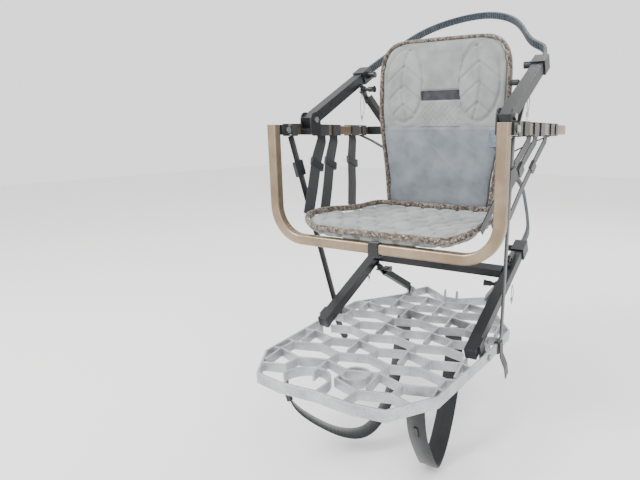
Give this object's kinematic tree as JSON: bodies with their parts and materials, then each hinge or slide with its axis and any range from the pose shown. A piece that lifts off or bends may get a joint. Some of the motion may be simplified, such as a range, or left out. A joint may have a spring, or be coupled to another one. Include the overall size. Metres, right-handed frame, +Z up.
{
  "type": "climbing tree stand",
  "caption": "Climbing tree stand: a padded seat frame with a front bar above a cast grid foot platform, each with braced arms and a toothed belt for the trunk.",
  "frame": {"origin": "throat of the seat section's trunk V, level with the side rails' centre lines", "axes": "+Z up, +Y from the seat into the trunk, +X to the sitter's left as they face away from the trunk"},
  "size_m": [0.6346, 1.1302, 1.1509],
  "materials": {
    "bronze_tube": "bronze anodised, satin",
    "cast_aluminium": "as cast, tumbled",
    "belt_rubber": "moulded, toothed",
    "zinc_steel": "zinc plated",
    "wire_lanyard": "coated wire",
    "black_webbing": "woven polypropylene",
    "black_plastic": "moulded",
    "seat_fabric": "quilted, padded",
    "moulded_foam": "moulded foam under knit",
    "tag_fabric": "sewn tag, plain",
    "black_powder_coat": "powder coated"
  },
  "bodies": {
    "seat_frame": {"side_rail_right": "bronze_tube", "side_rail_left": "bronze_tube", "rail_end_caps": "black_plastic", "rear_cross_tube": "black_powder_coat", "trunk_v_bracket": "black_powder_coat", "arm_bases": "black_powder_coat", "upper_brace_ears": "black_powder_coat", "upper_hinge_bolts": "zinc_steel", "bar_hinge_pins": "zinc_steel", "seat_pad": "seat_fabric", "backrest_pad": "moulded_foam", "backrest_strap": "black_webbing", "backrest_tag": "tag_fabric", "seat_straps": "black_webbing", "seat_strap_buckles": "black_plastic", "tether_loops": "black_webbing", "tether_strap_left": "black_webbing", "tether_strap_right": "black_webbing", "tether_adjusters": "black_plastic"},
    "front_bar": {"front_bar": "bronze_tube", "bar_clevises": "black_powder_coat", "bar_keeper_loop": "black_webbing", "bar_keeper_buckle": "black_plastic"},
    "upper_arms": {"upper_arm_left": "black_powder_coat", "upper_arm_right": "black_powder_coat", "upper_belt": "belt_rubber", "upper_lock_housings": "black_powder_coat", "upper_lanyard_left": "wire_lanyard", "upper_crimp_left": "zinc_steel", "upper_lanyard_right": "wire_lanyard", "upper_crimp_right": "zinc_steel"},
    "upper_braces": {"upper_brace_left": "black_powder_coat", "upper_brace_right": "black_powder_coat"},
    "platform": {"foot_platform": "cast_aluminium", "lower_hinge_bolts": "zinc_steel", "tether_wraps": "black_webbing", "carry_strap_left": "black_webbing", "carry_strap_right": "black_webbing", "carry_strap_adjusters": "black_plastic"},
    "lower_arms": {"lower_arm_left": "black_powder_coat", "lower_arm_right": "black_powder_coat", "lower_belt": "belt_rubber", "lower_lock_housings": "black_powder_coat", "lower_crossbar": "black_powder_coat", "lower_saddles": "black_powder_coat", "lower_lanyard_left": "wire_lanyard", "lower_crimp_left": "zinc_steel", "lower_lanyard_right": "wire_lanyard", "lower_crimp_right": "zinc_steel"},
    "lower_braces": {"lower_brace_left": "black_powder_coat", "lower_brace_right": "black_powder_coat"},
    "upper_pin_left": {"upper_pin_left": "black_plastic"},
    "upper_lock_left": {"upper_lock_plunger_left": "black_plastic"},
    "upper_pin_right": {"upper_pin_right": "black_plastic"},
    "upper_lock_right": {"upper_lock_plunger_right": "black_plastic"},
    "lower_pin_left": {"lower_pin_left": "black_plastic"},
    "lower_lock_left": {"lower_lock_plunger_left": "black_plastic"},
    "lower_pin_right": {"lower_pin_right": "black_plastic"},
    "lower_lock_right": {"lower_lock_plunger_right": "black_plastic"}
  },
  "joints": [
    {"name": "climb_stroke", "type": "slide", "parent": "seat_frame", "child": "platform", "axis": [0, 0, 1], "range_m": [0, 0.055], "deforming": ["tether_strap_left", "tether_strap_right"]},
    {"name": "front_bar_hinge", "type": "hinge", "parent": "seat_frame", "child": "front_bar", "pos_m": [0, -0.418, 0], "axis": [-1, 0, 0], "range_deg": [0, 90]},
    {"name": "upper_arm_fold", "type": "hinge", "parent": "seat_frame", "child": "upper_arms", "pos_m": [0, -0.343, 0.026], "axis": [-1, 0, 0], "range_deg": [0, 20]},
    {"name": "upper_brace_fold", "type": "hinge", "parent": "seat_frame", "child": "upper_braces", "pos_m": [0, -0.046, 0.002], "axis": [1, 0, 0], "range_deg": [0, 54.1]},
    {"name": "lower_arm_fold", "type": "hinge", "parent": "platform", "child": "lower_arms", "pos_m": [0, -0.34, -0.534], "axis": [-1, 0, 0], "range_deg": [0, 20]},
    {"name": "lower_brace_fold", "type": "hinge", "parent": "platform", "child": "lower_braces", "pos_m": [0, -0.02, -0.507], "axis": [1, 0, 0], "range_deg": [0, 41.1]},
    {"name": "upper_pin_pull_left", "type": "slide", "parent": "upper_braces", "child": "upper_pin_left", "axis": [1, 0, 0], "range_m": [0, 0.02]},
    {"name": "upper_lock_pull_left", "type": "slide", "parent": "upper_arms", "child": "upper_lock_left", "axis": [1, 0, 0], "range_m": [0, 0.008], "stiffness_N_per_m": 400, "springref_m": -0.004},
    {"name": "upper_pin_pull_right", "type": "slide", "parent": "upper_braces", "child": "upper_pin_right", "axis": [-1, 0, 0], "range_m": [0, 0.02]},
    {"name": "upper_lock_pull_right", "type": "slide", "parent": "upper_arms", "child": "upper_lock_right", "axis": [-1, 0, 0], "range_m": [0, 0.008], "stiffness_N_per_m": 400, "springref_m": -0.004},
    {"name": "lower_pin_pull_left", "type": "slide", "parent": "lower_braces", "child": "lower_pin_left", "axis": [1, 0, 0], "range_m": [0, 0.02]},
    {"name": "lower_lock_pull_left", "type": "slide", "parent": "lower_arms", "child": "lower_lock_left", "axis": [1, 0, 0], "range_m": [0, 0.008], "stiffness_N_per_m": 400, "springref_m": -0.004},
    {"name": "lower_pin_pull_right", "type": "slide", "parent": "lower_braces", "child": "lower_pin_right", "axis": [-1, 0, 0], "range_m": [0, 0.02]},
    {"name": "lower_lock_pull_right", "type": "slide", "parent": "lower_arms", "child": "lower_lock_right", "axis": [-1, 0, 0], "range_m": [0, 0.008], "stiffness_N_per_m": 400, "springref_m": -0.004}
  ],
  "couplings": [
    {"joint": "upper_brace_fold", "follows": "upper_arm_fold", "ratio": 2.7},
    {"joint": "lower_brace_fold", "follows": "lower_arm_fold", "ratio": 2.05}
  ]
}
